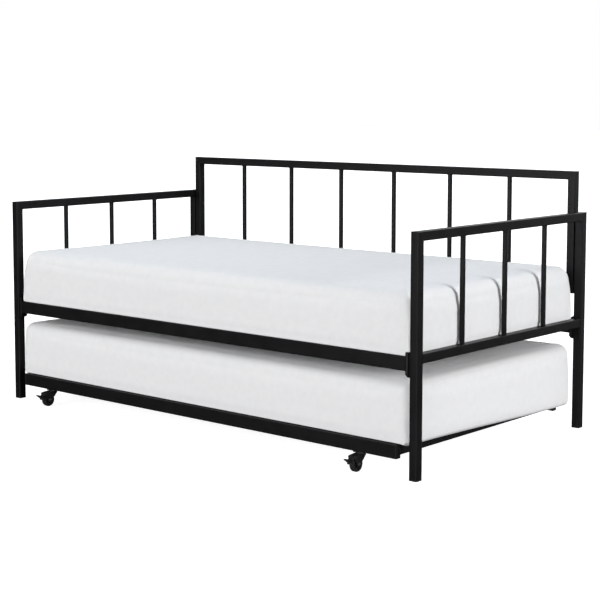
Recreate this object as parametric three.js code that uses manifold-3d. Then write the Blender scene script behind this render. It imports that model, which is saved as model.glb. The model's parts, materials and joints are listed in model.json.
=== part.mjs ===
// Twin daybed with a roll-out trundle, in welded square steel tube.
// Millimetres, +Z up, +X along the bed, -Y towards the side that the trundle rolls out of.
// The origin is on the floor, at the middle of the whole object's box.

import * as THREE from 'three';
import { mergeVertices } from 'three/addons/utils/BufferGeometryUtils.js';
import Module from 'manifold-3d';

// ---- driving dimensions ----------------------------------------------------------------------

const FIT_GAP = 0.3; // between pieces that touch

// daybed frame
const BED_LENGTH = 1956;
const BED_DEPTH = 1016;
const ARM_HEIGHT = 777;
const BACK_TOP = 922;
const BACK_BOTTOM = 487;
const TUBE = 30;
const TUBE_WALL = 1.5;
const SPINDLE = 14;
const SPINDLE_WALL = 1.2;
const ARM_SPINDLES = 3;
const BACK_SPINDLES = 6;
const ARM_LOWER_RAIL_BOTTOM = 367;
const BACK_SIDE_GAP = 3.5; // between an arm's rear leg and the back panel's post

// side rails of the bed and the trundle share one oblong tube
const RAIL_HEIGHT = 45;
const RAIL_DEPTH = 25;
const SIDE_RAIL_BOTTOM = 341.5;

// channel brackets that hold the side rails to the legs
const BRACKET_BOTTOM = 324;
const BRACKET_TOP = 403;
const BRACKET_REACH = 16;
const BRACKET_PLATE = 2.2;
const BRACKET_CHAMFER = 8;

// feet
const FOOT_FLANGE = 4;
const FOOT_PLUG = 18;

// slat decks
const SLATS = 13;
const SLAT_WIDTH = 30;
const SLAT_HEIGHT = 8;
const EDGE_BAR_WIDTH = 12;
const EDGE_BAR_HEIGHT = 16;

// trundle frame
const TRUNDLE_LENGTH = 1806;
const TRUNDLE_FRONT = -517;
const TRUNDLE_BACK = 445;
const TRUNDLE_RAIL_BOTTOM = 61.5;
const END_RAIL_BOTTOM = 71;
const END_RAIL_HEIGHT = 28;

// mattresses
const MATTRESS_LENGTH = 1884;
const MATTRESS_DEPTH = 979;
const MATTRESS_HEIGHT = 202;
const MATTRESS_FRONT = -503;
const MATTRESS_CORNER = 46;
const MATTRESS_EDGE = 30;
const MATTRESS_REST = 0.5; // above the rails it lies on

// casters
const CASTER_FRONT_X = 755; // from the middle of the trundle
const CASTER_BACK_X = 650;
const CASTER_PLATE_LENGTH = 46;
const WHEEL_RADIUS = 25;
const WHEEL_WIDTH = 18;
const TRAIL = 22; // from the swivel axis to the wheel's
const AXLE_RADIUS = 3.8;
const CHEEK_INNER = 11; // half of the space between the fork's cheeks
const CHEEK_PLATE = 2.5;
const KINGPIN_RADIUS = 4;
const SWIVEL_DISC_RADIUS = 14.5;
const SWIVEL_DISC_TOP = 58.4;
const SWIVEL_DISC_BOTTOM = 54.5;
const HOOD_GAP = 2.4; // between the tread and the hood
const HOOD_WALL = 2.4;
const PEDAL_TIP = 73.5; // from the swivel axis
const PEDAL_PIVOT = [-41, 50]; // Y from the swivel axis, and Z
const PEDAL_PIN_RADIUS = 1.7;

// ---- places worked out from them -------------------------------------------------------------

const FRONT = -BED_DEPTH / 2;
const BACK = BED_DEPTH / 2;
const LEG_X = (BED_LENGTH - TUBE) / 2;
const LEG_INNER_X = BED_LENGTH / 2 - TUBE;
const LEG_Y = (BED_DEPTH - TUBE) / 2;
const POST_X = LEG_INNER_X - BACK_SIDE_GAP - TUBE / 2;
const SIDE_RAIL_TOP = SIDE_RAIL_BOTTOM + RAIL_HEIGHT;
const SIDE_RAIL_INSET = BRACKET_PLATE + FIT_GAP; // behind the front of the legs
const TRUNDLE_RAIL_TOP = TRUNDLE_RAIL_BOTTOM + RAIL_HEIGHT;
const CASTER_FRONT_Y = TRUNDLE_FRONT + RAIL_DEPTH / 2;
const CASTER_BACK_Y = TRUNDLE_BACK - RAIL_DEPTH / 2;
const FOREMOST = CASTER_FRONT_Y - PEDAL_TIP;
const ORIGIN_SHIFT_Y = -(FOREMOST + BACK) / 2;

const SIDES = [
  { name: 'left', sign: -1 },
  { name: 'right', sign: 1 },
];
const ENDS = [
  { name: 'front', sign: -1, casterX: CASTER_FRONT_X, casterY: CASTER_FRONT_Y, brake: true },
  { name: 'rear', sign: 1, casterX: CASTER_BACK_X, casterY: CASTER_BACK_Y, brake: false },
];

const X = new THREE.Vector3(1, 0, 0);
const Y = new THREE.Vector3(0, 1, 0);
const Z = new THREE.Vector3(0, 0, 1);

// ---- materials -------------------------------------------------------------------------------

const paint = { color: 0x1a1a1b, roughness: 0.42, metalness: 0.25 };
const deckPaint = { color: 0x232324, roughness: 0.6, metalness: 0.2 };
const capPlastic = { color: 0x101010, roughness: 0.6, metalness: 0 };
const casterPlastic = { color: 0x17171a, roughness: 0.5, metalness: 0 };
const casterTyre = { color: 0x222224, roughness: 0.75, metalness: 0 };
const zinc = { color: 0x4c4d4f, roughness: 0.4, metalness: 0.9 };
const cotton = { color: 0xe9ebee, roughness: 0.95, metalness: 0 };

// ---- solid modelling helpers -----------------------------------------------------------------

const manifold = await Module();
manifold.setup();

function toSolid(geometry) {
  const bare = geometry.clone();
  bare.deleteAttribute('normal');
  bare.deleteAttribute('uv');
  const merged = mergeVertices(bare, 1e-4);
  const corners = merged.index.array;
  const faces = [];
  for (let i = 0; i < corners.length; i += 3) {
    const [a, b, c] = corners.slice(i, i + 3);
    if (a !== b && b !== c && c !== a) {
      faces.push(a, b, c);
    }
  }
  return new manifold.Manifold(new manifold.Mesh({
    numProp: 3,
    vertProperties: new Float32Array(merged.attributes.position.array),
    triVerts: new Uint32Array(faces),
  }));
}

function toGeometry(solid) {
  const mesh = solid.getMesh();
  const geometry = new THREE.BufferGeometry();
  geometry.setAttribute('position', new THREE.BufferAttribute(mesh.vertProperties, mesh.numProp));
  geometry.setIndex(new THREE.BufferAttribute(mesh.triVerts, 1));
  geometry.computeVertexNormals();
  return geometry;
}

function union(geometries) {
  return toGeometry(geometries.map(toSolid).reduce((whole, solid) => whole.add(solid)));
}

function box(x, y, z, centre) {
  const geometry = new THREE.BoxGeometry(x, y, z);
  geometry.translate(centre[0], centre[1], centre[2]);
  return geometry;
}

/** Cylinder along +Z between two heights. */
function disc(radius, bottom, top, segments = 20) {
  const geometry = new THREE.CylinderGeometry(radius, radius, top - bottom, segments);
  geometry.rotateX(Math.PI / 2);
  geometry.translate(0, 0, (top + bottom) / 2);
  return geometry;
}

/** Points on an arc about (a, b), first and last included. */
function arcPoints(a, b, radius, fromDegrees, toDegrees, steps) {
  const points = [];
  for (let i = 0; i <= steps; i += 1) {
    const angle = ((fromDegrees + ((toDegrees - fromDegrees) * i) / steps) * Math.PI) / 180;
    points.push(new THREE.Vector2(a + radius * Math.cos(angle), b + radius * Math.sin(angle)));
  }
  return points;
}

function toPoints(pairs) {
  return pairs.map(([a, b]) => new THREE.Vector2(a, b));
}

/** Rectangle about the origin with rounded corners. */
function roundedOutline(width, depth, radius, steps) {
  const x = width / 2 - radius;
  const y = depth / 2 - radius;
  return [
    ...arcPoints(x, -y, radius, -90, 0, steps),
    ...arcPoints(x, y, radius, 0, 90, steps),
    ...arcPoints(-x, y, radius, 90, 180, steps),
    ...arcPoints(-x, -y, radius, 180, 270, steps),
  ];
}

/** Upright block with rounded corners, between two heights. */
function roundedBlock(width, depth, radius, bottom, top) {
  const shape = new THREE.Shape(roundedOutline(width, depth, radius, 3));
  const geometry = new THREE.ExtrudeGeometry(shape, { depth: top - bottom, bevelEnabled: false });
  geometry.translate(0, 0, bottom);
  return geometry;
}

/**
 * Hollow tube along +Z from 0 to length, open at both ends.
 * A mitre of 1 cuts that end at 45 degrees and leaves it longest on the -X side, and -1 on the +X side.
 */
function tubeGeometry(width, depth, wall, length, startMitre = 0, endMitre = 0) {
  const corner = 2 * wall;
  const shape = new THREE.Shape(roundedOutline(width, depth, corner, 3));
  const inside = roundedOutline(width - 2 * wall, depth - 2 * wall, corner - wall, 1);
  shape.holes.push(new THREE.Path(inside));
  const geometry = new THREE.ExtrudeGeometry(shape, { depth: length, bevelEnabled: false });
  const position = geometry.attributes.position;
  for (let i = 0; i < position.count; i += 1) {
    const x = position.getX(i);
    const atEnd = position.getZ(i) > length / 2;
    const mitre = atEnd ? endMitre : startMitre;
    const cut = (Math.abs(mitre) * width) / 2 + mitre * x;
    position.setZ(i, position.getZ(i) + (atEnd ? -cut : cut));
  }
  return geometry;
}

/** Outline in the YZ plane extruded over x, with round holes given as [y, z, radius]. */
function sidePlate(points, xFrom, xTo, holes = []) {
  const holeSides = 16;
  const shape = new THREE.Shape(points);
  for (const [y, z, radius] of holes) {
    const lastStep = 360 - 360 / holeSides;
    shape.holes.push(new THREE.Path(arcPoints(y, z, radius, 0, lastStep, holeSides - 1)));
  }
  const geometry = new THREE.ExtrudeGeometry(shape, { depth: xTo - xFrom, bevelEnabled: false });
  geometry.applyMatrix4(new THREE.Matrix4().makeBasis(Y, Z, X));
  geometry.translate(xFrom, 0, 0);
  return geometry;
}

// ---- placing ---------------------------------------------------------------------------------

const bed = new THREE.Group();
const frameParts = new THREE.Group();
frameParts.position.y = ORIGIN_SHIFT_Y;
bed.add(frameParts);

function addMesh(name, geometry, finish, position = [0, 0, 0]) {
  const mesh = new THREE.Mesh(geometry, new THREE.MeshStandardMaterial(finish));
  mesh.name = name;
  mesh.position.set(...position);
  frameParts.add(mesh);
  return mesh;
}

/** Turns a mesh so that its own Z runs along one direction and its own X along another. */
function aim(mesh, along, across) {
  const third = new THREE.Vector3().crossVectors(along, across);
  mesh.quaternion.setFromRotationMatrix(new THREE.Matrix4().makeBasis(across, third, along));
  return mesh;
}

// ---- daybed frame ----------------------------------------------------------------------------

/** A rail between two legs or posts, mitred at both ends, with its top face at a height. */
function addMitredRail(name, length, top, along, start) {
  const geometry = tubeGeometry(TUBE, TUBE, TUBE_WALL, length, -1, -1);
  const mesh = addMesh(name, geometry, paint, [start[0], start[1], top - TUBE / 2]);
  return aim(mesh, along, Z);
}

function addLeg(name, x, end) {
  const bottom = FOOT_FLANGE + FIT_GAP;
  const top = ARM_HEIGHT - FIT_GAP * Math.SQRT2;
  const geometry = tubeGeometry(TUBE, TUBE, TUBE_WALL, top - bottom, 0, 1);
  const mesh = addMesh(name, geometry, paint, [x, end.sign * LEG_Y, bottom]);
  aim(mesh, Z, Y.clone().multiplyScalar(-end.sign));
}

function addFootCap(name, x, y) {
  const inside = TUBE - 2 * TUBE_WALL - 2 * FIT_GAP;
  const cap = union([
    roundedBlock(TUBE, TUBE, 2 * TUBE_WALL, 0, FOOT_FLANGE),
    roundedBlock(inside, inside, TUBE_WALL, FOOT_FLANGE / 2, FOOT_FLANGE + FOOT_PLUG),
  ]);
  addMesh(name, cap, capPlastic, [x, y, 0]);
}

function addUprights(namePrefix, count, bottom, top, placeOf) {
  const length = top - bottom - 2 * FIT_GAP;
  for (let i = 1; i <= count; i += 1) {
    const geometry = tubeGeometry(SPINDLE, SPINDLE, SPINDLE_WALL, length);
    const [x, y] = placeOf(i);
    addMesh(`${namePrefix}_spindle_${i}`, geometry, paint, [x, y, bottom + FIT_GAP]);
  }
}

function addArm(side) {
  const x = side.sign * LEG_X;
  for (const end of ENDS) {
    addLeg(`${side.name}_arm_${end.name}_leg`, x, end);
    addFootCap(`${side.name}_${end.name}_foot_cap`, x, end.sign * LEG_Y);
  }
  addMitredRail(`${side.name}_arm_top_rail`, BED_DEPTH, ARM_HEIGHT, Y, [x, FRONT]);

  const lowerLength = BED_DEPTH - 2 * TUBE - 2 * FIT_GAP;
  const lower = tubeGeometry(TUBE, TUBE, TUBE_WALL, lowerLength);
  const place = [x, FRONT + TUBE + FIT_GAP, ARM_LOWER_RAIL_BOTTOM + TUBE / 2];
  aim(addMesh(`${side.name}_arm_lower_rail`, lower, paint, place), Y, Z);

  const pitch = (2 * LEG_Y) / (ARM_SPINDLES + 1);
  addUprights(`${side.name}_arm`, ARM_SPINDLES, ARM_LOWER_RAIL_BOTTOM + TUBE, ARM_HEIGHT - TUBE,
    (i) => [x, -LEG_Y + i * pitch]);
}

function addBackPanel() {
  const width = 2 * POST_X + TUBE;
  addMitredRail('back_top_rail', width, BACK_TOP, X, [-width / 2, LEG_Y]);

  const postLength = BACK_TOP - FIT_GAP * Math.SQRT2 - BACK_BOTTOM;
  for (const side of SIDES) {
    const post = tubeGeometry(TUBE, TUBE, TUBE_WALL, postLength, 0, 1);
    const mesh = addMesh(`back_${side.name}_post`, post, paint, [side.sign * POST_X, LEG_Y, BACK_BOTTOM]);
    aim(mesh, Z, X.clone().multiplyScalar(-side.sign));
  }

  const bottomLength = width - 2 * TUBE - 2 * FIT_GAP;
  const bottomRail = tubeGeometry(TUBE, TUBE, TUBE_WALL, bottomLength);
  const place = [-bottomLength / 2, LEG_Y, BACK_BOTTOM + TUBE / 2];
  aim(addMesh('back_bottom_rail', bottomRail, paint, place), X, Z);

  const pitch = (2 * POST_X) / (BACK_SPINDLES + 1);
  addUprights('back', BACK_SPINDLES, BACK_BOTTOM + TUBE, BACK_TOP - TUBE,
    (i) => [-POST_X + i * pitch, LEG_Y]);
}

/** Oblong rail along X. */
function addRail(name, length, y, bottom) {
  const geometry = tubeGeometry(RAIL_HEIGHT, RAIL_DEPTH, TUBE_WALL, length);
  const mesh = addMesh(name, geometry, paint, [-length / 2, y, bottom + RAIL_HEIGHT / 2]);
  aim(mesh, X, Z);
}

/** Flange of a side rail's bracket, seen from the front, with a slanted corner at each end. */
function bracketFlange(slantX, slantZ) {
  const outline = new THREE.Shape([
    new THREE.Vector2(0, BRACKET_BOTTOM),
    new THREE.Vector2(BRACKET_REACH - BRACKET_CHAMFER, BRACKET_BOTTOM),
    new THREE.Vector2(BRACKET_REACH, BRACKET_BOTTOM + BRACKET_CHAMFER),
    new THREE.Vector2(BRACKET_REACH, BRACKET_TOP - slantZ),
    new THREE.Vector2(BRACKET_REACH - slantX, BRACKET_TOP),
    new THREE.Vector2(0, BRACKET_TOP),
  ]);
  const flange = new THREE.ExtrudeGeometry(outline, { depth: BRACKET_PLATE, bevelEnabled: false });
  return flange.applyMatrix4(new THREE.Matrix4().makeBasis(X, Z, Y.clone().negate()));
}

/** Channel bracket: its web lies on the leg's inner face, and its flanges hold the rail's end. */
function addRailBracket(name, side, end) {
  const inner = bracketFlange(10, BRACKET_TOP - SIDE_RAIL_TOP); // clear of the mattress
  inner.translate(0, BRACKET_PLATE, 0);
  const outer = bracketFlange(3, 3);
  outer.translate(0, 2 * BRACKET_PLATE - TUBE, 0);
  const height = BRACKET_TOP - BRACKET_BOTTOM;
  const web = box(BRACKET_PLATE, TUBE, height, [
    BRACKET_PLATE / 2,
    BRACKET_PLATE - TUBE / 2,
    BRACKET_BOTTOM + height / 2,
  ]);
  const geometry = union([inner, outer, web]);
  const towardsMiddle = LEG_INNER_X - FIT_GAP;
  const mesh = addMesh(name, geometry, paint, [
    side.sign * towardsMiddle,
    end.sign * (BACK - TUBE + BRACKET_PLATE),
    0,
  ]);
  mirrorInto(mesh, side.sign < 0, end.sign < 0);
}

/** Geometry is drawn for the left front corner. The other corners take its mirror images. */
function mirrorInto(mesh, atLeft, atFront) {
  const flipX = !atLeft;
  const flipY = !atFront;
  const geometry = mesh.geometry;
  geometry.scale(flipX ? -1 : 1, flipY ? -1 : 1, 1);
  if (flipX !== flipY) {
    flipFaces(geometry);
  }
}

function flipFaces(geometry) {
  const index = geometry.index;
  for (let i = 0; i < index.count; i += 3) {
    const second = index.getX(i + 1);
    index.setX(i + 1, index.getX(i + 2));
    index.setX(i + 2, second);
  }
  geometry.computeVertexNormals();
}

function addSideRails() {
  const length = 2 * (LEG_INNER_X - BRACKET_PLATE - 2 * FIT_GAP);
  for (const end of ENDS) {
    const y = end.sign * (BACK - SIDE_RAIL_INSET - RAIL_DEPTH / 2);
    addRail(`${end.name}_side_rail`, length, y, SIDE_RAIL_BOTTOM);
    for (const side of SIDES) {
      addRailBracket(`${end.name}_${side.name}_rail_bracket`, side, end);
    }
  }
}

/** One welded panel: slats across the bed, joined by a bar at the front, the middle and the back. */
function addSlatDeck(name, length, front, back, top) {
  const depth = back - front;
  const middle = (front + back) / 2;
  const pieces = [];
  for (let i = 0; i < SLATS; i += 1) {
    const x = -length / 2 + SLAT_WIDTH / 2 + (i * (length - SLAT_WIDTH)) / (SLATS - 1);
    pieces.push(box(SLAT_WIDTH, depth, SLAT_HEIGHT, [x, middle, top - SLAT_HEIGHT / 2]));
  }
  const underSlats = top - SLAT_HEIGHT / 2 - EDGE_BAR_HEIGHT / 2;
  for (const y of [front + EDGE_BAR_WIDTH / 2, middle, back - EDGE_BAR_WIDTH / 2]) {
    pieces.push(box(length, EDGE_BAR_WIDTH, EDGE_BAR_HEIGHT, [0, y, underSlats]));
  }
  addMesh(name, union(pieces), deckPaint);
}

/** Plain solid of a boxed foam mattress, with rounded corners and edges. */
function addMattress(name, bottom) {
  const width = MATTRESS_LENGTH - 2 * MATTRESS_EDGE;
  const depth = MATTRESS_DEPTH - 2 * MATTRESS_EDGE;
  const outline = roundedOutline(width, depth, MATTRESS_CORNER - MATTRESS_EDGE, 4);
  const geometry = new THREE.ExtrudeGeometry(new THREE.Shape(outline), {
    depth: MATTRESS_HEIGHT - 2 * MATTRESS_EDGE,
    bevelEnabled: true,
    bevelThickness: MATTRESS_EDGE,
    bevelSize: MATTRESS_EDGE,
    bevelSegments: 3,
  });
  const middleY = MATTRESS_FRONT + MATTRESS_DEPTH / 2;
  addMesh(name, geometry, cotton, [0, middleY, bottom + MATTRESS_EDGE]);
}

// ---- trundle ---------------------------------------------------------------------------------

function addTrundleFrame() {
  addRail('trundle_front_rail', TRUNDLE_LENGTH, TRUNDLE_FRONT + RAIL_DEPTH / 2, TRUNDLE_RAIL_BOTTOM);
  addRail('trundle_rear_rail', TRUNDLE_LENGTH, TRUNDLE_BACK - RAIL_DEPTH / 2, TRUNDLE_RAIL_BOTTOM);

  const from = TRUNDLE_FRONT + RAIL_DEPTH + FIT_GAP;
  const to = TRUNDLE_BACK - RAIL_DEPTH - FIT_GAP;
  for (const side of SIDES) {
    const geometry = tubeGeometry(END_RAIL_HEIGHT, RAIL_DEPTH, TUBE_WALL, to - from);
    const x = side.sign * (TRUNDLE_LENGTH / 2 - RAIL_DEPTH / 2);
    const place = [x, from, END_RAIL_BOTTOM + END_RAIL_HEIGHT / 2];
    aim(addMesh(`trundle_${side.name}_end_rail`, geometry, paint, place), Y, Z);
  }
  const deckLength = TRUNDLE_LENGTH - 2 * RAIL_DEPTH - 2 * FIT_GAP;
  addSlatDeck('trundle_slat_deck', deckLength, from, to, TRUNDLE_RAIL_TOP - FIT_GAP);
}

// ---- casters, drawn with the swivel axis on Z and the wheel trailing towards -Y -----------------

/** Plate under the rail, with the kingpin that the fork swivels on. */
function casterPlateGeometry() {
  const play = 0.4;
  const top = TRUNDLE_RAIL_BOTTOM - FIT_GAP;
  const bottom = SWIVEL_DISC_TOP + play;
  const headTop = SWIVEL_DISC_BOTTOM - play;
  const headBottom = headTop - 1.9;
  return union([
    roundedBlock(CASTER_PLATE_LENGTH, RAIL_DEPTH - 1, 5, bottom, top),
    disc(KINGPIN_RADIUS, headBottom, bottom + 1, 16),
    disc(KINGPIN_RADIUS + 2.5, headBottom, headTop, 16),
  ]);
}

/** Fork side: axle boss at the wheel's centre, neck to the swivel disc, and an ear for the pedal. */
function cheekOutline(brake) {
  const neck = 13;
  const neckTop = SWIVEL_DISC_TOP - 1;
  const neckBottom = SWIVEL_DISC_BOTTOM - 3;
  const bossRadius = 8;
  const boss = arcPoints(-TRAIL, WHEEL_RADIUS, bossRadius, -10, -190, 8);
  const [earY, earZ] = brake ? PEDAL_PIVOT : [-TRAIL - 10, 47];
  const ear = arcPoints(earY, earZ, brake ? 5 : 6, 200, 90, 5);
  const behind = toPoints([[neck, neckTop], [neck, neckBottom]]);
  const ahead = toPoints([[-neck, neckTop]]);
  return [...behind, ...boss, ...ear, ...ahead];
}

/** Shell that follows the top of the wheel between two angles from the +Y direction. */
function hoodGeometry(fromDegrees, toDegrees) {
  const inner = WHEEL_RADIUS + HOOD_GAP;
  const outer = inner + HOOD_WALL;
  const outline = [
    ...arcPoints(-TRAIL, WHEEL_RADIUS, outer, fromDegrees, toDegrees, 9),
    ...arcPoints(-TRAIL, WHEEL_RADIUS, inner, toDegrees, fromDegrees, 9),
  ];
  const halfWidth = CHEEK_INNER + CHEEK_PLATE / 2;
  return sidePlate(outline, -halfWidth, halfWidth);
}

function casterForkGeometry(brake) {
  const axleHole = [-TRAIL, WHEEL_RADIUS, AXLE_RADIUS + FIT_GAP];
  const pedalHole = [...PEDAL_PIVOT, PEDAL_PIN_RADIUS + FIT_GAP];
  const holes = brake ? [axleHole, pedalHole] : [axleHole];
  const outline = cheekOutline(brake);
  const cheekOuter = CHEEK_INNER + CHEEK_PLATE;
  const fork = union([
    sidePlate(outline, CHEEK_INNER, cheekOuter, holes),
    sidePlate(outline, -cheekOuter, -CHEEK_INNER, holes),
    disc(SWIVEL_DISC_RADIUS, SWIVEL_DISC_BOTTOM, SWIVEL_DISC_TOP),
    hoodGeometry(25, brake ? 108 : 150),
  ]);
  const kingpinHole = disc(KINGPIN_RADIUS + FIT_GAP, SWIVEL_DISC_BOTTOM - 1, SWIVEL_DISC_TOP + 1, 16);
  return toGeometry(toSolid(fork).subtract(toSolid(kingpinHole)));
}

/** Wheel about its own centre, turning on X, with a rounded tread and a sunk web round the hub. */
function casterWheelGeometry() {
  const bore = AXLE_RADIUS + FIT_GAP;
  const half = WHEEL_WIDTH / 2;
  const web = half - 3;
  const hub = 9;
  const rim = 18;
  const shoulder = WHEEL_RADIUS - 3;
  const profile = [
    [bore, -half], [hub, -half], [hub + 0.5, -web], [rim - 0.5, -web], [rim, -half],
    [shoulder, -half], [WHEEL_RADIUS, -half + 4], [WHEEL_RADIUS, half - 4], [shoulder, half],
    [rim, half], [rim - 0.5, web], [hub + 0.5, web], [hub, half], [bore, half], [bore, -half],
  ];
  const geometry = new THREE.LatheGeometry(toPoints(profile), 28);
  geometry.rotateZ(-Math.PI / 2);
  return geometry;
}

/** Rivet through the fork's cheeks and the wheel, with a head at each end. */
function casterAxleGeometry() {
  const inHead = CHEEK_INNER + CHEEK_PLATE + FIT_GAP;
  const end = inHead + 1.8;
  const head = 6;
  const profile = [
    [0, -end], [head, -end], [head, -inHead], [AXLE_RADIUS, -inHead],
    [AXLE_RADIUS, inHead], [head, inHead], [head, end], [0, end],
  ];
  const geometry = new THREE.LatheGeometry(toPoints(profile), 16);
  geometry.rotateZ(-Math.PI / 2);
  return geometry;
}

/**
 * Brake pedal on its cross pin: a shoe curves down in front of the tread, and a foot tab rises
 * from it towards -Y. Treading on the tab turns the shoe onto the wheel.
 */
function casterPedalGeometry() {
  const half = CHEEK_INNER - 2 * FIT_GAP;
  const shoeCentre = [-TRAIL - 2, WHEEL_RADIUS];
  const shoeInner = WHEEL_RADIUS + 3.5;
  const shoeOuter = shoeInner + 3;
  const outline = [
    ...arcPoints(...PEDAL_PIVOT, 4, -30, 130, 6),
    ...arcPoints(...shoeCentre, shoeOuter + 0.8, 135, 155, 3),
    ...toPoints([[-PEDAL_TIP + 1.6, 48.8], [-PEDAL_TIP, 47.6], [-PEDAL_TIP + 0.9, 45.7]]),
    ...arcPoints(...shoeCentre, shoeOuter, 165, 174, 2),
    ...arcPoints(...shoeCentre, shoeInner, 174, 133, 6),
  ];
  const body = sidePlate(outline, -half, half);
  const pin = disc(PEDAL_PIN_RADIUS, -CHEEK_INNER - CHEEK_PLATE, CHEEK_INNER + CHEEK_PLATE, 12);
  pin.rotateY(Math.PI / 2);
  pin.translate(0, ...PEDAL_PIVOT);
  return union([body, pin]);
}

function addCaster(side, end) {
  const name = `${end.name}_${side.name}_caster`;
  const place = [side.sign * end.casterX, end.casterY, 0];
  const wheelCentre = [place[0], place[1] - TRAIL, WHEEL_RADIUS];
  addMesh(`${name}_plate`, casterPlateGeometry(), zinc, place);
  addMesh(`${name}_fork`, casterForkGeometry(end.brake), casterPlastic, place);
  addMesh(`${name}_wheel`, casterWheelGeometry(), casterTyre, wheelCentre);
  addMesh(`${name}_axle`, casterAxleGeometry(), zinc, wheelCentre);
  if (end.brake) {
    addMesh(`${name}_pedal`, casterPedalGeometry(), casterPlastic, place);
  }
}

// ---- assembly --------------------------------------------------------------------------------

for (const side of SIDES) {
  addArm(side);
}
addBackPanel();
addSideRails();

const deckEnd = LEG_INNER_X - BRACKET_REACH - 2 * FIT_GAP;
const deckBack = BACK - SIDE_RAIL_INSET - RAIL_DEPTH - FIT_GAP;
addSlatDeck('daybed_slat_deck', 2 * deckEnd, -deckBack, deckBack, SIDE_RAIL_TOP - FIT_GAP);
addMattress('daybed_mattress', SIDE_RAIL_TOP + MATTRESS_REST);

addTrundleFrame();
addMattress('trundle_mattress', TRUNDLE_RAIL_TOP + MATTRESS_REST);
for (const end of ENDS) {
  for (const side of SIDES) {
    addCaster(side, end);
  }
}

export default bed;
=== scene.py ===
"""Looks of a twin daybed in black steel tube, with a roll-out trundle on casters and two mattresses.

Lengths are metres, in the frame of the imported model: +Z up, +X along the bed, -Y to the front.
"""

import json
import math

import bmesh
import bpy
import numpy as np
from mathutils import Matrix, Vector, noise


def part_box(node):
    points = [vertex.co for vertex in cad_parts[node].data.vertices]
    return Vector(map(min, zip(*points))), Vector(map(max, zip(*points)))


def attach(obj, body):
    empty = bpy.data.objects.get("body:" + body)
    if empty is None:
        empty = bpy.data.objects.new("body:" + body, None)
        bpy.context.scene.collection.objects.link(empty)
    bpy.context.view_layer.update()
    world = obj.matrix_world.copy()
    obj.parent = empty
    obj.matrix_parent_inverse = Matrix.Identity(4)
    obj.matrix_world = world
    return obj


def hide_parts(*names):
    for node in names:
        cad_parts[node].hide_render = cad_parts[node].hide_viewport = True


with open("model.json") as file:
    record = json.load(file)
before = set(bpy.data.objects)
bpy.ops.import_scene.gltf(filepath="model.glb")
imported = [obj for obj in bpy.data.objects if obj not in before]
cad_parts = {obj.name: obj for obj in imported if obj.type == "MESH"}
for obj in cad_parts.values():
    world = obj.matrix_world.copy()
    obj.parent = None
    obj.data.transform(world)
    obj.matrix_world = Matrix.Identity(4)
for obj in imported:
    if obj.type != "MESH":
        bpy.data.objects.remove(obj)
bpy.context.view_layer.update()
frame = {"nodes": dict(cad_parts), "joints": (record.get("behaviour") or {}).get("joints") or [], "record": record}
nodes = frame["nodes"]

MM = 0.001
SIDES = {"left": -1, "right": 1}
ENDS = {"front": -1, "rear": 1}


# ---- node materials ---------------------------------------------------------------------------

class Shader:
    """A Principled material under construction. Its patterns follow the object's own space."""

    def __init__(self, name, **inputs):
        self.material = bpy.data.materials.new(name)
        self.material.use_nodes = True
        self.tree = self.material.node_tree
        self.bsdf = self.tree.nodes["Principled BSDF"]
        self.space = self.add("ShaderNodeTexCoord").outputs["Object"]
        for key, value in inputs.items():
            self.bsdf.inputs[key.replace("_", " ")].default_value = value

    def add(self, kind, **settings):
        node = self.tree.nodes.new(kind)
        for key, value in settings.items():
            setattr(node, key, value)
        return node

    def link(self, source, target):
        self.tree.links.new(source, target)

    def noise(self, scale, detail=2.0, stretch=None):
        """Noise with features about 1/scale metres across, longer along an axis stretched below 1."""
        node = self.add("ShaderNodeTexNoise")
        node.inputs["Scale"].default_value = scale
        node.inputs["Detail"].default_value = detail
        where = self.space
        if stretch:
            mapping = self.add("ShaderNodeMapping")
            mapping.inputs["Scale"].default_value = stretch
            self.link(where, mapping.inputs["Vector"])
            where = mapping.outputs["Vector"]
        self.link(where, node.inputs["Vector"])
        return node.outputs["Fac"]

    def bands(self, direction, pitch):
        """Even ridges across one axis, a pitch apart. At scale 1 there are 20 in 2 pi metres."""
        node = self.add("ShaderNodeTexWave", wave_type="BANDS", bands_direction=direction)
        node.inputs["Scale"].default_value = 2 * math.pi / (20 * pitch)
        self.link(self.space, node.inputs["Vector"])
        return node.outputs["Fac"]

    def combine(self, operation, a, b):
        node = self.add("ShaderNodeMath", operation=operation)
        for socket, value in zip(node.inputs, (a, b)):
            if isinstance(value, (int, float)):
                socket.default_value = value
            else:
                self.link(value, socket)
        return node.outputs["Value"]

    def colour(self, value, dark, light):
        ramp = self.add("ShaderNodeValToRGB")
        ramp.color_ramp.elements[0].position, ramp.color_ramp.elements[1].position = 0.35, 0.65
        ramp.color_ramp.elements[0].color = (*dark, 1)
        ramp.color_ramp.elements[1].color = (*light, 1)
        self.link(value, ramp.inputs["Fac"])
        self.link(ramp.outputs["Color"], self.bsdf.inputs["Base Color"])

    def roughness(self, value, low, high):
        node = self.add("ShaderNodeMapRange")
        node.inputs["From Min"].default_value, node.inputs["From Max"].default_value = 0.3, 0.7
        node.inputs["To Min"].default_value, node.inputs["To Max"].default_value = low, high
        self.link(value, node.inputs["Value"])
        self.link(node.outputs["Result"], self.bsdf.inputs["Roughness"])

    def bump(self, height, distance, strength):
        node = self.add("ShaderNodeBump")
        node.inputs["Distance"].default_value = distance
        node.inputs["Strength"].default_value = strength
        self.link(height, node.inputs["Height"])
        self.link(node.outputs["Normal"], self.bsdf.inputs["Normal"])


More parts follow.
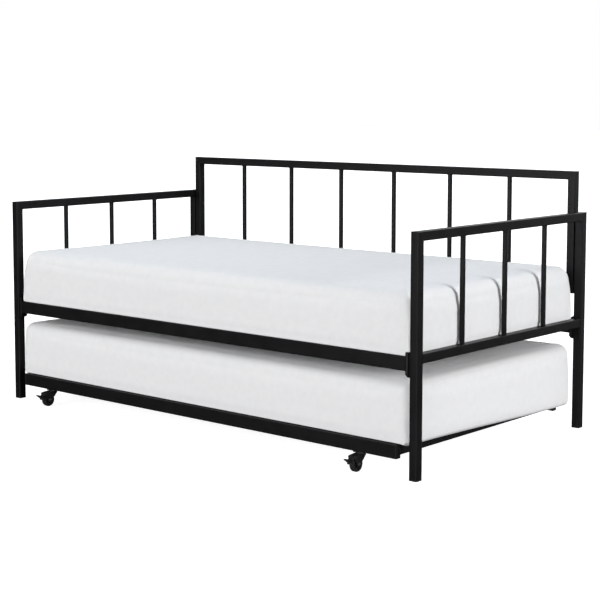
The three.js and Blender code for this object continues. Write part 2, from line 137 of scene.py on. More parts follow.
def powder_coat(name, dark, light, rough):
    """Satin powder coat: fine orange peel, with slow changes of sheen along the tube."""
    shader = Shader(name, Specular_IOR_Level=0.14)
    shader.colour(shader.noise(9.0, 3.0), dark, light)
    shader.roughness(shader.noise(35.0, 4.0), rough - 0.05, rough + 0.07)
    peel = shader.combine("ADD", shader.noise(650.0, 2.0), shader.noise(210.0, 1.0))
    shader.bump(peel, 0.12 * MM, 0.6)
    return shader.material


def moulded_plastic(name, dark, light, rough):
    """Injection-moulded plastic: spark-eroded grain and faint flow marks."""
    shader = Shader(name, Specular_IOR_Level=0.3)
    shader.colour(shader.noise(60.0, 3.0), dark, light)
    shader.roughness(shader.noise(180.0, 3.0), rough - 0.06, rough + 0.08)
    shader.bump(shader.noise(2600.0, 1.0), 0.06 * MM, 0.8)
    return shader.material


def tread_rubber():
    """Matt tread with a little grey dust worked into it."""
    shader = Shader("caster_tread_rubber", Specular_IOR_Level=0.25)
    shader.colour(shader.noise(240.0, 5.0), (0.006, 0.006, 0.0065), (0.020, 0.020, 0.019))
    shader.roughness(shader.noise(300.0, 3.0), 0.62, 0.85)
    shader.bump(shader.noise(1500.0, 3.0), 0.1 * MM, 0.8)
    return shader.material


def plated_steel():
    """Dark zinc plating, clouded and finely drawn."""
    shader = Shader("dark_zinc_plate", Metallic=1.0)
    shader.colour(shader.noise(150.0, 4.0), (0.06, 0.06, 0.065), (0.12, 0.12, 0.125))
    shader.roughness(shader.noise(900.0, 2.0), 0.3, 0.45)
    shader.bump(shader.noise(2200.0, 1.0), 0.03 * MM, 0.7)
    return shader.material


def cotton_cover():
    """White cotton cover: a fine plain weave, slubs in the yarn and a soft nap."""
    thread = 1.1 * MM
    shader = Shader("white_cotton_cover", Specular_IOR_Level=0.2, Sheen_Weight=0.12,
                    Sheen_Roughness=0.45)
    shader.colour(shader.noise(40.0, 5.0), (0.775, 0.78, 0.788), (0.80, 0.803, 0.808))
    shader.roughness(shader.noise(120.0, 3.0), 0.86, 0.97)
    weave = shader.combine("ADD", shader.bands("X", thread), shader.bands("Y", thread))
    weave = shader.combine("ADD", weave, shader.bands("Z", thread))
    slubs = shader.combine("MULTIPLY", shader.noise(260.0, 4.0), 2.0)
    shader.bump(shader.combine("ADD", weave, slubs), 0.08 * MM, 0.5)
    return shader.material


FINISHES = {
    "frame_steel": powder_coat("black_powder_coat", (0.0025,) * 3, (0.0045, 0.0045, 0.005), 0.40),
    "deck_steel": powder_coat("deck_powder_coat", (0.008,) * 3, (0.013, 0.013, 0.014), 0.55),
    "cap_plastic": moulded_plastic("cap_polythene", (0.005,) * 3, (0.009,) * 3, 0.55),
    "caster_plastic": moulded_plastic("caster_nylon", (0.006,) * 3, (0.011, 0.011, 0.012), 0.42),
    "caster_tyre": tread_rubber(),
    "caster_metal": plated_steel(),
    "mattress_fabric": cotton_cover(),
}


# ---- making pieces ----------------------------------------------------------------------------

def shade_smooth_group():
    """Geometry nodes that shade a piece smooth."""
    group = bpy.data.node_groups.new("shade_smooth", "GeometryNodeTree")
    group.interface.new_socket("Geometry", in_out="INPUT", socket_type="NodeSocketGeometry")
    group.interface.new_socket("Geometry", in_out="OUTPUT", socket_type="NodeSocketGeometry")
    entry, smooth, leave = (group.nodes.new(kind) for kind in (
        "NodeGroupInput", "GeometryNodeSetShadeSmooth", "NodeGroupOutput"))
    group.links.new(entry.outputs[0], smooth.inputs["Geometry"])
    group.links.new(smooth.outputs["Geometry"], leave.inputs[0])
    return group


SHADE_SMOOTH = shade_smooth_group()


def soften(piece):
    """Shades small rounded edges smooth and keeps the wide faces between them flat."""
    piece.modifiers.new("smooth", "NODES").node_group = SHADE_SMOOTH
    normals = piece.modifiers.new("normals", "WEIGHTED_NORMAL")
    normals.mode = "FACE_AREA"
    normals.weight = 100
    normals.keep_sharp = False


def finish_cad_nodes():
    """Gives every CAD node its finish, and smooths the shading of the tubes' rounded corners."""
    slots = {row["node"]: row["material_slot"] for row in frame["record"]["subparts"]}
    for name, node in nodes.items():
        node.data.materials.clear()
        node.data.materials.append(FINISHES[slots[name]])
        weld = node.modifiers.new("weld", "WELD")
        weld.merge_threshold = 0.002 * MM
        if slots[name] in ("frame_steel", "cap_plastic"):
            soften(node)


def add_piece(name, mesh, body, slot, *replaced):
    """Adds a mesh as a piece that rides on a body, in one of the record's finishes."""
    piece = bpy.data.objects.new(name, mesh)
    bpy.context.scene.collection.objects.link(piece)
    mesh.materials.append(FINISHES[slot])
    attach(piece, body)
    if replaced:
        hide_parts(*replaced)
    return piece


class Solid:
    """Closed shells that together make one piece."""

    def __init__(self):
        self.mesh = bmesh.new()

    def add(self, points, faces):
        """Adds one closed shell, and gives back its faces."""
        vertices = [self.mesh.verts.new(p) for p in points]
        made = [self.mesh.faces.new([vertices[i] for i in face]) for face in faces]
        bmesh.ops.recalc_face_normals(self.mesh, faces=made)
        return made

    def bevel(self, faces, width):
        """Rounds the edges of a shell where its faces turn by more than 30 degrees."""
        edges = dict.fromkeys(edge for face in faces for edge in face.edges)
        sharp = [e for e in edges if e.calc_face_angle(0) > math.radians(30)]
        bmesh.ops.bevel(self.mesh, geom=sharp, offset=width, segments=2, profile=0.5,
                        affect="EDGES", clamp_overlap=True)

    def slab(self, outline, low, high, place, bevel):
        """Plate with an outline of (a, b) points between two heights. place(a, b, h) is the point."""
        count = len(outline)
        points = [place(a, b, h) for h in (low, high) for a, b in outline]
        faces = [list(range(count)), list(range(2 * count - 1, count - 1, -1))]
        faces += [[i, (i + 1) % count, count + (i + 1) % count, count + i] for i in range(count)]
        self.bevel(self.add(points, faces), bevel)

    def lathe(self, profile, place, segments, closed=False, hexagon=()):
        """Turned shape. profile is (radius, height) points, and the ones listed in hexagon get six
        sides. An open profile starts and ends on the axis."""
        rings, points, faces = [], [], []
        for number, (radius, height) in enumerate(profile):
            ring = []
            for k in range(segments if radius > 0 else 1):
                angle = 2 * math.pi * k / segments
                wide = radius
                if number in hexagon:
                    wide *= math.cos(math.pi / 6) / math.cos(angle % (math.pi / 3) - math.pi / 6)
                ring.append(len(points))
                points.append(place(wide * math.cos(angle), wide * math.sin(angle), height))
            rings.append(ring)
        pairs = list(zip(rings, rings[1:] + rings[:1])) if closed else list(zip(rings, rings[1:]))
        for a, b in pairs:
            for k in range(segments):
                after = (k + 1) % segments
                corners = [a[k % len(a)], a[after % len(a)], b[after % len(b)], b[k % len(b)]]
                face = list(dict.fromkeys(corners))
                if len(face) > 2:
                    faces.append(face)
        self.add(points, faces)

    def cord_ring(self, loop, normal, radii):
        """Thin eight-sided bead along a closed flat loop of points, with the loop's normal."""
        count, sides, points, faces = len(loop), 8, [], []
        for i, point in enumerate(loop):
            along = (loop[(i + 1) % count] - loop[i - 1]).normalized()
            side = along.cross(normal).normalized()
            for k in range(sides):
                angle = 2 * math.pi * k / sides
                points.append(point + radii[i] * (math.cos(angle) * normal + math.sin(angle) * side))
        for i in range(count):
            after = (i + 1) % count
            for k in range(sides):
                beside = (k + 1) % sides
                faces.append([i * sides + k, i * sides + beside, after * sides + beside,
                              after * sides + k])
        self.add(points, faces)

    def piece(self, name, body, slot, *replaced, smooth_all=False):
        """Adds the shells to the scene as one piece."""
        mesh = bpy.data.meshes.new(name)
        self.mesh.to_mesh(mesh)
        self.mesh.free()
        made = add_piece(name, mesh, body, slot, *replaced)
        if smooth_all:
            mesh.shade_smooth()
        else:
            soften(made)
        return made


def arc(a, b, radius, start, end, steps):
    """Points on an arc about (a, b), with both its ends, from one angle to another in degrees."""
    angles = [math.radians(start + (end - start) * i / steps) for i in range(steps + 1)]
    return [(a + radius * math.cos(t), b + radius * math.sin(t)) for t in angles]


def rounded_rectangle(half_a, half_b, radius, steps=4):
    corners = [(1, -1, -90), (1, 1, 0), (-1, 1, 90), (-1, -1, 180)]
    return [point for sa, sb, start in corners
            for point in arc(sa * (half_a - radius), sb * (half_b - radius), radius,
                             start, start + 90, steps)]


# ---- welds, bolts and plugs -------------------------------------------------------------------

def size_of(name):
    low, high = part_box(name)
    return high - low


TUBE = size_of("left_arm_lower_rail").x
SPINDLE = size_of("left_arm_spindle_1").x
TUBE_CORNER = 3 * MM
SPINDLE_CORNER = 1.5 * MM
HALF_GAP = 0.15 * MM  # a weld bead is centred in the gap that the CAD leaves between two tubes
BRACKET_PLATE = 2.2 * MM
BRACKET_BOLT = 4.6 * MM, 2.6 * MM, 0.8 * MM  # head radius, head height, washer thickness
POST_BOLT = 5.2 * MM, 3.0 * MM, 1.0 * MM


def weld_bead(solid, centre, across, up, corner, radius, ripple=0.16):
    """Scalloped bead round a rounded tube. across and up are the tube's half sizes, as vectors."""
    a, b = across.normalized(), up.normalized()
    outline = rounded_rectangle(across.length, up.length, corner, 3)
    path, step = [], 1.7 * MM
    for (x0, y0), (x1, y1) in zip(outline, outline[1:] + outline[:1]):
        parts = max(1, round(math.dist((x0, y0), (x1, y1)) / step))
        path += [(x0 + (x1 - x0) * k / parts, y0 + (y1 - y0) * k / parts) for k in range(parts)]
    loop = [centre + x * a + y * b for x, y in path]
    normal = a.cross(b)
    radii = []
    for k, point in enumerate(loop):
        scallop = math.sin(k * 2.1) * ripple
        radii.append(radius * (1 + scallop + 0.25 * ripple * noise.noise(point * 400)))
    solid.cord_ring(loop, normal, radii)


def weld_spindles(solid, spindles):
    for name in spindles:
        low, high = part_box(name)
        for z in (low.z - HALF_GAP, high.z + HALF_GAP):
            centre = Vector(((low.x + high.x) / 2, (low.y + high.y) / 2, z))
            half = SPINDLE / 2
            weld_bead(solid, centre, Vector((half, 0, 0)), Vector((0, half, 0)), SPINDLE_CORNER,
                      1.5 * MM)


def weld_mitre(solid, centre, depth, diagonal):
    """Ground-down weld of a mitred corner: it only just stands proud of the tubes."""
    weld_bead(solid, centre, depth, diagonal, 2.6 * MM, 0.45 * MM, 0.1)


def add_frame_welds():
    """Beads at both ends of the spindles and lower rails, and at the mitred top corners."""
    half = TUBE / 2
    x, y, z = Vector((half, 0, 0)), Vector((0, half, 0)), Vector((0, 0, half))
    for side in SIDES:
        welds = Solid()
        weld_spindles(welds, [f"{side}_arm_spindle_{i}" for i in (1, 2, 3)])
        rail_low, rail_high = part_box(f"{side}_arm_lower_rail")
        top_low, top_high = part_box(f"{side}_arm_top_rail")
        centre_x = (rail_low.x + rail_high.x) / 2
        height = (rail_low.z + rail_high.z) / 2
        for end, at in ((-1, rail_low.y), (1, rail_high.y)):
            weld_bead(welds, Vector((centre_x, at + end * HALF_GAP, height)), x, z, TUBE_CORNER,
                      1.3 * MM)
        for end, at in ((-1, top_low.y), (1, top_high.y)):
            corner = Vector((centre_x, at - end * half, top_high.z - half))
            weld_mitre(welds, corner, x, Vector((0, end * half, half)))
        welds.piece(f"{side}_arm_welds", "daybed", "frame_steel", smooth_all=True)
    welds = Solid()
    weld_spindles(welds, [f"back_spindle_{i}" for i in range(1, 7)])
    rail_low, rail_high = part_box("back_bottom_rail")
    top_low, top_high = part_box("back_top_rail")
    depth = (rail_low.y + rail_high.y) / 2
    for end, at in ((-1, rail_low.x), (1, rail_high.x)):
        centre = Vector((at + end * HALF_GAP, depth, (rail_low.z + rail_high.z) / 2))
        weld_bead(welds, centre, y, z, TUBE_CORNER, 1.3 * MM)
    for end, at in ((-1, top_low.x), (1, top_high.x)):
        corner = Vector((at - end * half, depth, top_high.z - half))
        weld_mitre(welds, corner, y, Vector((end * half, 0, half)))
    welds.piece("back_panel_welds", "daybed", "frame_steel", smooth_all=True)


def add_rail_welds():
    """Beads where the brackets meet the legs, and where the trundle's rails meet."""
    welds = Solid()
    for end in ENDS:
        for side, sign in SIDES.items():
            low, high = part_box(f"{end}_{side}_rail_bracket")
            half = (high - low) / 2
            centre = (low + high) / 2
            centre.x = high.x if sign > 0 else low.x
            weld_bead(welds, centre, Vector((0, half.y, 0)), Vector((0, 0, half.z)), 1.0 * MM,
                      1.1 * MM)
    welds.piece("bracket_welds", "daybed", "frame_steel", smooth_all=True)
    welds = Solid()
    for side in SIDES:
        low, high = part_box(f"trundle_{side}_end_rail")
        half = (high - low) / 2
        for end, at in ((-1, low.y), (1, high.y)):
            centre = Vector(((low.x + high.x) / 2, at + end * HALF_GAP, (low.z + high.z) / 2))
            weld_bead(welds, centre, Vector((half.x, 0, 0)), Vector((0, 0, half.z)), TUBE_CORNER,
                      1.8 * MM)
    welds.piece("trundle_rail_welds", "trundle", "frame_steel", smooth_all=True)


def add_bolt(solid, seat, direction, radius, height, washer):
    """Button head with a six-sided socket, on a washer. seat is where it bears, direction outward."""
    out = direction.normalized()
    side = out.orthogonal().normalized()
    other = out.cross(side)

    def place(x, y, h):
        return seat + x * side + y * other + h * out

    rim = radius + 1.8 * MM
    solid.lathe([(0, 0), (rim - 0.2 * MM, 0), (rim, 0.2 * MM), (rim, washer - 0.25 * MM),
                 (rim - 0.25 * MM, washer), (0, washer)], place, 28)
    base = washer * 0.9
    socket, depth = radius * 0.42, height * 0.6
    dome = [(radius * math.cos(t), base + height * (0.25 + 0.75 * math.sin(t)))
            for t in (0.0, 0.3, 0.6, 0.85, 1.05)]
    profile = [(0, base), (radius * 0.97, base), *dome, (socket * 1.12, base + height),
               (socket, base + height - 0.2 * MM), (socket, base + height - depth),
               (0, base + height - depth * 1.15)]
    solid.lathe(profile, place, 36, hexagon=(len(profile) - 4, len(profile) - 3, len(profile) - 2))


def add_fasteners():
    """Bolts through the brackets into the legs, and through the back panel's posts, with a spacer
    between each post and its leg."""
    bolts = Solid()
    for end in ENDS:
        for side, sign in SIDES.items():
            low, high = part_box(f"{end}_{side}_rail_bracket")
            face = (low.x if sign > 0 else high.x) + sign * (high.x - low.x - BRACKET_PLATE)
            rail_low, rail_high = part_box(f"{end}_side_rail")
            depth = (rail_low.y + rail_high.y) / 2
            for z in ((low.z + rail_low.z) / 2, (rail_high.z + high.z) / 2):
                add_bolt(bolts, Vector((face, depth, z)), Vector((-sign, 0, 0)), *BRACKET_BOLT)
    for side, sign in SIDES.items():
        low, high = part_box(f"back_{side}_post")
        leg_low, leg_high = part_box(f"{side}_arm_rear_leg")
        post_inner, post_outer = (low.x, high.x) if sign > 0 else (high.x, low.x)
        gap = (leg_low.x if sign > 0 else leg_high.x) - post_outer
        depth = (low.y + high.y) / 2
        for z in (low.z + 75 * MM, leg_high.z - 60 * MM):
            add_bolt(bolts, Vector((post_inner, depth, z)), Vector((-sign, 0, 0)), *POST_BOLT)

            def place(a, b, h, z=z):
                return Vector((post_outer + gap * h, depth + a, z + b))

            bolts.lathe([(0, 0), (8 * MM, 0), (8.4 * MM, 0.15), (8.4 * MM, 0.85), (8 * MM, 1), (0, 1)],
                        place, 28)
    bolts.piece("frame_bolts", "daybed", "frame_steel")


def add_end_plugs():
    """Plastic plugs in both ends of the trundle's long rails and at the foot of the back posts."""
    wall, flange = 1.5 * MM, 1.8 * MM
    plugs = Solid()
    for name in ("trundle_front_rail", "trundle_rear_rail"):
        low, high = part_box(name)
        half, centre = (high - low) / 2, (high + low) / 2
        for end, at in ((-1, low.x), (1, high.x)):
            def place(a, b, h):
                return Vector((at + end * h, centre.y + a, centre.z + b))

            plugs.slab(rounded_rectangle(half.y, half.z, TUBE_CORNER), 0, flange, place, 0.7 * MM)
            plugs.slab(rounded_rectangle(half.y - 2 * wall, half.z - 2 * wall, wall), flange - 0.1 * MM,
                       flange + 0.5 * MM, place, 0.35 * MM)
    plugs.piece("trundle_rail_plugs", "trundle", "cap_plastic")
    plugs = Solid()
    for side in SIDES:
        low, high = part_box(f"back_{side}_post")
        centre = (low + high) / 2

        def place(a, b, h):
            return Vector((centre.x + a, centre.y + b, low.z - h))

        plugs.slab(rounded_rectangle(TUBE / 2, TUBE / 2, TUBE_CORNER), 0, flange, place, 0.7 * MM)
    plugs.piece("back_post_plugs", "daybed", "cap_plastic")


# ---- casters ----------------------------------------------------------------------------------
# Drawn about the swivel axis: y from it, z from the floor. The wheel trails towards -Y.

TRAIL = 22 * MM
WHEEL_RADIUS = 25 * MM
WHEEL_HALF = 9 * MM
CHEEK_INNER, CHEEK_OUTER = 11 * MM, 13.5 * MM
SWIVEL_TOP, SWIVEL_BOTTOM = 58.4 * MM, 54.5 * MM
HOOD_INNER, HOOD_OUTER = 27.4 * MM, 29.8 * MM
PEDAL_PIVOT = (-41 * MM, 50 * MM)
PEDAL_HALF = 10.4 * MM


def scaled(pairs):
    return [(a * MM, b * MM) for a, b in pairs]


def add_caster_mount(name, stem):
    """Top plate on two rivets, with the kingpin's domed head and the ball race's ring."""
    mount = Solid()

    def place(x, y, z):
        return stem + Vector((x, y, z))

    mount.slab(rounded_rectangle(23 * MM, 12 * MM, 5 * MM, 5), 58.8 * MM, 61.2 * MM, place, 0.5 * MM)
    for x in (-18 * MM, 18 * MM):
        head = scaled([(0, 59), (2.6, 59), (2.6, 58.4), (2.2, 57.7), (1.3, 57.3), (0, 57.2)])
        mount.lathe(head, lambda a, b, h, x=x: stem + Vector((x + a, b, h)), 20)
    kingpin = [(0, 59), (3.9, 59), (3.9, 54.1), (6.3, 54.1), (6.5, 53.8), (6.3, 53.2), (5.2, 52.6),
               (3, 52.3), (1.4, 52.2), (1.2, 52.6), (0, 52.7)]
    mount.lathe(scaled(kingpin), place, 32)
    mount.piece(f"{name}_mount", "trundle", "caster_metal", f"{name}_plate")


def add_caster_fork(name, body, stem, brake):
    """Two cheeks with axle bosses, a hood round the wheel and the swivel disc above."""
    fork = Solid()
    ear = arc(*PEDAL_PIVOT, 5 * MM, 200, 90, 8) if brake else \
        arc(-32 * MM, 47 * MM, 6 * MM, 200, 90, 8)
    cheek = scaled([(13, 57.4), (13, 51.5)])
    cheek += arc(-TRAIL, WHEEL_RADIUS, 8 * MM, -10, -190, 18) + ear + scaled([(-13, 57.4)])
    for sign in (-1, 1):
        def place(y, z, h, sign=sign):
            return stem + Vector((sign * h, y, z))

        fork.slab(cheek, CHEEK_INNER, CHEEK_OUTER, place, 0.45 * MM)

        def round_axle(a, b, h, sign=sign):
            return stem + Vector((sign * h, a - TRAIL, b + WHEEL_RADIUS))

        boss = scaled([(5.9, 13), (7.6, 13), (7.6, 13.9), (7.3, 14.2), (6.2, 14.2), (5.9, 13.9)])
        fork.lathe(boss, round_axle, 36, closed=True)
    last = 108 if brake else 150  # degrees; a pedal needs the hood to end sooner
    hood = arc(-TRAIL, WHEEL_RADIUS, HOOD_OUTER, 25, last, 26)
    hood += arc(-TRAIL, WHEEL_RADIUS, HOOD_INNER, last, 25, 26)
    fork.slab(hood, -12.4 * MM, 12.4 * MM, lambda y, z, h: stem + Vector((h, y, z)), 0.5 * MM)
    disc = [(4.3, 54.5), (13.7, 54.5), (14.5, 55.2), (14.5, 56.1), (14.1, 56.4), (14.1, 56.7),
            (14.5, 57.0), (14.5, 57.8), (13.9, 58.4), (4.3, 58.4)]
    fork.lathe(scaled(disc), lambda x, y, z: stem + Vector((x, y, z)), 40, closed=True)
    fork.piece(f"{name}_shell", body, "caster_plastic", f"{name}_fork")


def add_caster_wheel(name, body, centre):
    """Ribbed nylon core in a grooved tread."""
    def place(a, b, h):
        return centre + Vector((h, a, b))

    tread = Solid()
    outer = scaled([(17.9, 8.6), (19.5, 8.9), (22.2, 8.8), (23.8, 8.1), (24.6, 6.9), (24.95, 5.2),
                    (24.98, 3.3), (24.5, 3.1), (24.5, 2.6), (25, 2.4)])
    profile = outer + [(r, -h) for r, h in reversed(outer)] + scaled([(17.3, -6), (17.3, 6)])
    tread.lathe(profile, place, 64, closed=True)
    tread.piece(f"{name}_tread", body, "caster_tyre", f"{name}_wheel")
    core = Solid()
    half = scaled([(4.1, 8.6), (4.6, 9), (7.6, 9), (8.2, 8.6), (8.8, 5.0), (9.8, 4.2), (15.2, 4.2),
                   (16.0, 4.9), (16.3, 8.2), (16.7, 8.5), (17.7, 8.5)])
    core.lathe(half + [(r, -h) for r, h in reversed(half)], place, 64, closed=True)
    for k in range(6):
        turn = Matrix.Rotation(math.radians(60 * k + 30), 3, "X")
        for sign in (-1, 1):
            outline = scaled([(8.0, 4), (16.4, 4), (16.4, 6.6), (8.0, 7.8)])
            core.slab(outline, -0.7 * MM, 0.7 * MM, lambda r, h, w, s=sign, t=turn:
                      centre + t @ Vector((s * h, w, r)), 0.25 * MM)
    core.piece(f"{name}_core", body, "caster_plastic")


def add_caster_axle(name, body, centre):
    """Rivet with a domed head outside each cheek."""
    axle = Solid()
    half = scaled([(3.7, 10), (3.7, 13.8), (5.8, 13.8), (6, 14.1), (5.7, 14.8), (4.6, 15.3),
                   (2.6, 15.55), (1.5, 15.6), (1.3, 15.2)])
    profile = [(0, -half[-1][1])] + [(r, -h) for r, h in reversed(half)] + half + [(0, half[-1][1])]
    axle.lathe(profile, lambda a, b, h: centre + Vector((h, a, b)), 32)
    axle.piece(f"{name}_rivet", body, "caster_metal", f"{name}_axle")


def add_caster_pedal(name, body, stem):
    """Brake lever on a cross pin: a shoe round the tread, and a foot tab with grip ribs."""
    pedal = Solid()
    shoe = (-TRAIL - 2 * MM, WHEEL_RADIUS)
    inner, outer = WHEEL_RADIUS + 3.5 * MM, WHEEL_RADIUS + 6.5 * MM
    outline = arc(*PEDAL_PIVOT, 4 * MM, -30, 130, 10) + arc(*shoe, outer + 0.8 * MM, 135, 155, 5)
    outline += scaled([(-71.9, 48.8), (-73.2, 48.3), (-73.5, 47.4), (-72.6, 45.7)])
    outline += arc(*shoe, outer, 165, 174, 3) + arc(*shoe, inner, 174, 133, 12)

    def place(y, z, h):
        return stem + Vector((h, y, z))

    pedal.slab(outline, -PEDAL_HALF, PEDAL_HALF, place, 0.5 * MM)
    for k in range(4):
        y, z = -58.5 - 3.2 * k, 44.9 + 0.9 * k
        rib = scaled([(y - 0.6, z - 0.4), (y + 0.6, z - 0.6), (y + 0.35, z + 0.9), (y - 0.35, z + 1)])
        pedal.slab(rib, -PEDAL_HALF + 1.6 * MM, PEDAL_HALF - 1.6 * MM, place, 0.2 * MM)
    pin = scaled([(0, -13.9), (1.3, -13.9), (1.7, -13.6), (1.7, 13.6), (1.3, 13.9), (0, 13.9)])
    pedal.lathe(pin, lambda a, b, h: stem + Vector((h, PEDAL_PIVOT[0] + a, PEDAL_PIVOT[1] + b)), 20)
    pedal.piece(f"{name}_lever", body, "caster_plastic", f"{name}_pedal")


def add_casters():
    """A caster at each swivel joint. The front ones have a brake."""
    for joint in frame["joints"]:
        if not joint["name"].endswith("_swivel"):
            continue
        place = joint["name"].removesuffix("_swivel")
        name, brake = f"{place}_caster", place.startswith("front")
        x, y, _ = joint["pos_m"]
        stem = Vector((x, y, 0))
        centre = stem + Vector((0, -TRAIL, WHEEL_RADIUS))
        add_caster_mount(name, stem)
        add_caster_fork(name, f"{place}_fork", stem, brake)
        add_caster_wheel(name, f"{place}_wheel", centre)
        add_caster_axle(name, f"{place}_fork", centre)
        if brake:
            add_caster_pedal(name, f"{place}_pedal", stem)


# ---- mattresses -------------------------------------------------------------------------------

EDGE_BASE, EDGE_BASE_ENDS = 4 * MM, 18 * MM  # how far up an edge of the base is rounded
ARC_STEPS = 7  # in each eighth of a turn round an edge
FINEST, COARSEST = 7 * MM, 18 * MM  # grid steps next to an edge and far from it
SWELL = {"pressure": 1.5, "frames": 14, "cap": 3 * MM}


def smooth_step(x, low, high):
    """0 below low, 1 above high, and a smooth rise between them."""
    t = np.clip((x - low) / (high - low), 0, 1)
    return t * t * (3 - 2 * t)


def graded_axis(half, low_reach, high_reach):
    """Grid places from -half to half: even angles round both edges, and wider steps further in.
    Each is a pair: the place, and how far round the edge it is, from -1 to 1."""
    turns = [math.tan(math.radians(45.0 * k / ARC_STEPS)) for k in range(ARC_STEPS, 0, -1)]
    length = 2 * half - low_reach - high_reach
    steps, total = [], 0.0
    step = FINEST
    while total + step < length / 2:
        steps.append(step)
        total += step
        step = min(step * 1.15, COARSEST)
    steps = [s * (length / 2) / total for s in steps]
    steps += steps[::-1]
    place = -half + low_reach
    places = [(place, 0.0)]
    for s in steps:
        place += s
        places.append((place, 0.0))
    low = [(-half + low_reach * (1 - t), -t) for t in turns]
    return low + places + [(half - high_reach * (1 - t), t) for t in reversed(turns)]


def mattress_form(half, plan_top, plan_base, edge_top, taper):
    """Closed quad mesh of a boxed foam mattress about its centre, softer at the top edges. Its
    corners in plan and its top edges have these radii, and each side leans in by the taper."""
    axes = [graded_axis(half[0], plan_top, plan_top), graded_axis(half[1], plan_top, plan_top),
            graded_axis(half[2], EDGE_BASE_ENDS, edge_top)]
    keys, faces = {}, []
    counts = [len(axis) - 1 for axis in axes]
    for fixed in range(3):
        u, v = (fixed + 1) % 3, (fixed + 2) % 3
        for end in (0, counts[fixed]):
            for i in range(counts[u]):
                for j in range(counts[v]):
                    face = []
                    for a, b in ((i, j), (i + 1, j), (i + 1, j + 1), (i, j + 1)):
                        key = [0, 0, 0]
                        key[fixed], key[u], key[v] = end, a, b
                        face.append(keys.setdefault(tuple(key), len(keys)))
                    faces.append(face if end else face[::-1])
    places = np.array([[axes[a][key[a]] for a in range(3)] for key in keys])
    grid, turn = places[:, :, 0], places[:, :, 1]
    turn = turn / np.linalg.norm(turn, axis=1, keepdims=True)
    high = smooth_step(grid[:, 2], -0.2 * half[2], 0.9 * half[2])
    plan = plan_base + (plan_top - plan_base) * high
    ends = smooth_step(np.abs(grid[:, 0]), half[0] - 36 * MM, half[0] - 12 * MM)
    base = EDGE_BASE + (EDGE_BASE_ENDS - EDGE_BASE) * ends
    points = grid.copy()
    for axis in range(3):
        if axis < 2:
            reach = plan
        else:
            reach = np.where(turn[:, 2] > 0, edge_top, base)
        edge = half[axis] - reach + reach * np.abs(turn[:, axis])
        points[:, axis] = np.where(turn[:, axis] == 0, grid[:, axis], np.sign(turn[:, axis]) * edge)
    lean = taper * (points[:, 2:] + half[2]) / (2 * half[2])
    points[:, :2] *= 1 - lean / half[:2]
    return points, faces


def swell(piece, held, pressure, frames, cap):
    """Where the foam's push takes the cover, by cloth simulation. No point moves past the cap."""
    start = np.array([v.co for v in piece.data.vertices])
    group = piece.vertex_groups.new(name="held")
    for i, weight in enumerate(held):
        group.add([i], float(weight), "REPLACE")
    cloth = piece.modifiers.new("cover", "CLOTH")
    settings = cloth.settings
    settings.quality = 4
    settings.mass = 0.4
    settings.tension_stiffness = 20
    settings.compression_stiffness = 10
    settings.shear_stiffness = 8
    settings.bending_stiffness = 2.0
    settings.air_damping = 6
    settings.use_pressure = True
    settings.uniform_pressure_force = pressure
    settings.vertex_group_mass = "held"
    settings.effector_weights.gravity = 0
    cloth.collision_settings.use_collision = False
    cloth.point_cache.frame_start, cloth.point_cache.frame_end = 1, frames
    for number in range(1, frames + 1):
        bpy.context.scene.frame_set(number)
    graph = bpy.context.evaluated_depsgraph_get()
    end = np.array([v.co for v in piece.evaluated_get(graph).data.vertices])
    bpy.context.scene.frame_set(1)
    piece.modifiers.remove(cloth)
    piece.vertex_groups.remove(group)
    move = end - start
    length = np.maximum(np.linalg.norm(move, axis=1, keepdims=True), 1e-9)
    return start + move * cap * np.tanh(length / cap) / length


def drape(points, half, seed, overhang, sag, flare):
    """Slow hollows in the cover, the sag of the ends that hang past the frame they lie on, and how
    far the foot of the back spreads onto the rail behind it."""
    shift = Vector((seed, 2.3 * seed, -1.7 * seed))
    moved = points.copy()
    for i, (x, y, z) in enumerate(points):
        slow = noise.noise(Vector((x * 2.6, y * 2.6, z * 5.0)) + shift)
        fine = noise.noise(Vector((x * 8.0, y * 8.0, z * 9.0)) - shift)
        push = (1.5 * slow + 0.5 * fine) * MM
        for axis in range(3):
            if half[axis] - abs(points[i, axis]) < 12 * MM and not (axis == 2 and z < 0):
                moved[i, axis] += push * math.copysign(1, points[i, axis])
    past = smooth_step(np.abs(points[:, 0]), half[0] - overhang, half[0] - 0.5 * overhang)
    rear_right = smooth_step(points[:, 1], -half[1], half[1]) * (points[:, 0] > 0)
    low = 1 - smooth_step(points[:, 2], -half[2], 0.3 * half[2])
    moved[:, 2] -= sag * past * low * (0.15 + 0.85 * rear_right)
    foot = 1 - smooth_step(points[:, 2], -half[2] + 12 * MM, -half[2] + 85 * MM)
    inside = 1 - smooth_step(np.abs(points[:, 0]), half[0] - 60 * MM, half[0] - 20 * MM)
    moved[:, 1] += flare * foot * inside * smooth_step(points[:, 1], half[1] - 40 * MM, half[1])
    return moved


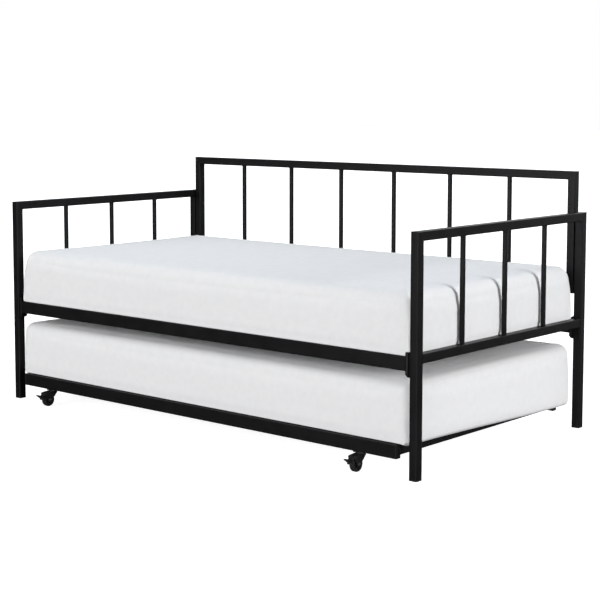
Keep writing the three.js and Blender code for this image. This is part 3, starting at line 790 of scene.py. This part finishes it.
def make_mattress(name, node, body, seed, trim, form, **hang):
    """Foam mattress in a fitted cotton cover: flat base, full sides, soft top edges. trim is what
    it gives up at its left end, right end, front and back, before the cover swells. form is what
    mattress_form asks for, and hang what drape does."""
    left, right, front, back = trim
    low, high = (np.array(corner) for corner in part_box(node))
    low += np.array([left, front, -0.4 * MM])
    high -= np.array([right, back, 5 * MM])
    half = (high - low) / 2
    centre = (low + high) / 2
    points, faces = mattress_form(half, **form)
    mesh = bpy.data.meshes.new(name)
    mesh.from_pydata((points + centre).tolist(), [], faces)
    mesh.shade_smooth()
    piece = add_piece(name, mesh, body, "mattress_fabric", node)
    height = points[:, 2] + half[2]
    held = 1 - smooth_step(height, 5 * MM, 30 * MM)
    points = swell(piece, held, **SWELL) - centre
    points = drape(points, half, seed, **hang)
    mesh.vertices.foreach_set("co", (points + centre).astype(np.float32).ravel())
    mesh.update()
    refine = piece.modifiers.new("refine", "SUBSURF")
    refine.levels = refine.render_levels = 1


# ---- camera, floor and light ------------------------------------------------------------------

def add_camera():
    """Stands to the right of the front and looks slightly down."""
    data = bpy.data.cameras.new("camera")
    data.lens = 88.2
    data.shift_x = 0.03
    data.shift_y = -0.1
    data.clip_end = 100
    camera = bpy.data.objects.new("camera", data)
    camera.location = (3.5962, -4.0912, 1.1882)
    camera.rotation_euler = (math.radians(90 - 5.594), 0, math.radians(41.222))
    bpy.context.scene.collection.objects.link(camera)
    bpy.context.scene.camera = camera


def add_floor():
    """Pale seamless floor, lit a little from below like a light table. It throws no light back."""
    size = 40.0  # from the middle to each side
    mesh = bpy.data.meshes.new("floor")
    mesh.from_pydata([(-size, -size, 0), (size, -size, 0), (size, size, 0), (-size, size, 0)], [],
                     [(0, 1, 2, 3)])
    shader = Shader("pale_floor", Roughness=0.95, Specular_IOR_Level=0.0, Emission_Strength=0.85)
    shader.bsdf.inputs["Emission Color"].default_value = (1, 1, 1, 1)
    shader.colour(shader.noise(0.8, 2.0), (0.70, 0.70, 0.70), (0.72, 0.72, 0.72))
    mesh.materials.append(shader.material)
    floor = bpy.data.objects.new("floor", mesh)
    floor.visible_diffuse = False
    floor.visible_glossy = False
    bpy.context.scene.collection.objects.link(floor)


def add_sun(name, azimuth, elevation, strength, spread, colour=(1, 1, 1)):
    """Soft light that comes from an azimuth (0 is the front, 90 the right) and an elevation."""
    data = bpy.data.lights.new(name, "SUN")
    data.energy = strength
    data.angle = math.radians(spread)
    data.color = colour
    light = bpy.data.objects.new(name, data)
    light.rotation_euler = (math.radians(90 - elevation), 0, math.radians(azimuth))
    bpy.context.scene.collection.objects.link(light)


def add_world():
    """White to the camera, a soft grey light for matt surfaces, and dimmer in reflections."""
    world = bpy.data.worlds.new("studio")
    world.use_nodes = True
    tree = world.node_tree
    seen = tree.nodes.new("ShaderNodeLightPath")
    shader = tree.nodes["Background"]
    shader.inputs["Color"].default_value = (0.96, 0.98, 1.0, 1)
    shader.inputs["Strength"].default_value = 0.07
    for ray, strength in (("Is Diffuse Ray", 0.12), ("Is Camera Ray", 1.0)):
        glow = tree.nodes.new("ShaderNodeBackground")
        glow.inputs["Color"].default_value = (1, 1, 1, 1)
        glow.inputs["Strength"].default_value = strength
        mix = tree.nodes.new("ShaderNodeMixShader")
        tree.links.new(seen.outputs[ray], mix.inputs["Fac"])
        tree.links.new(shader.outputs[0], mix.inputs[1])
        tree.links.new(glow.outputs[0], mix.inputs[2])
        shader = mix
    tree.links.new(shader.outputs[0], tree.nodes["World Output"].inputs["Surface"])
    bpy.context.scene.world = world


def add_studio():
    add_camera()
    add_floor()
    add_world()
    add_sun("side_softbox", 94, 13, 2.72, 26)
    add_sun("overhead_softbox", 195, 62, 1.03, 60, (0.88, 0.99, 1.12))
    add_sun("rear_softbox", 185, 14, 1.3, 60)
    add_sun("front_softbox", -6, 8, 3.65, 50)
    bpy.context.scene.view_settings.view_transform = "Standard"


finish_cad_nodes()
add_frame_welds()
add_rail_welds()
add_fasteners()
add_end_plugs()
add_casters()
make_mattress(
    "upper_mattress_cover", "daybed_mattress", "daybed", seed=1.7,
    trim=(11 * MM, -5 * MM, 1.5 * MM, 2.5 * MM),
    form={"plan_top": 36 * MM, "plan_base": 10 * MM, "edge_top": 42 * MM, "taper": 3 * MM},
    overhang=20 * MM, sag=0, flare=11 * MM)
make_mattress(
    "lower_mattress_cover", "trundle_mattress", "trundle", seed=5.2,
    trim=(8 * MM, -3 * MM, -2 * MM, 0),
    form={"plan_top": 34 * MM, "plan_base": 24 * MM, "edge_top": 35 * MM, "taper": 0},
    overhang=36 * MM, sag=26 * MM, flare=0)
add_studio()
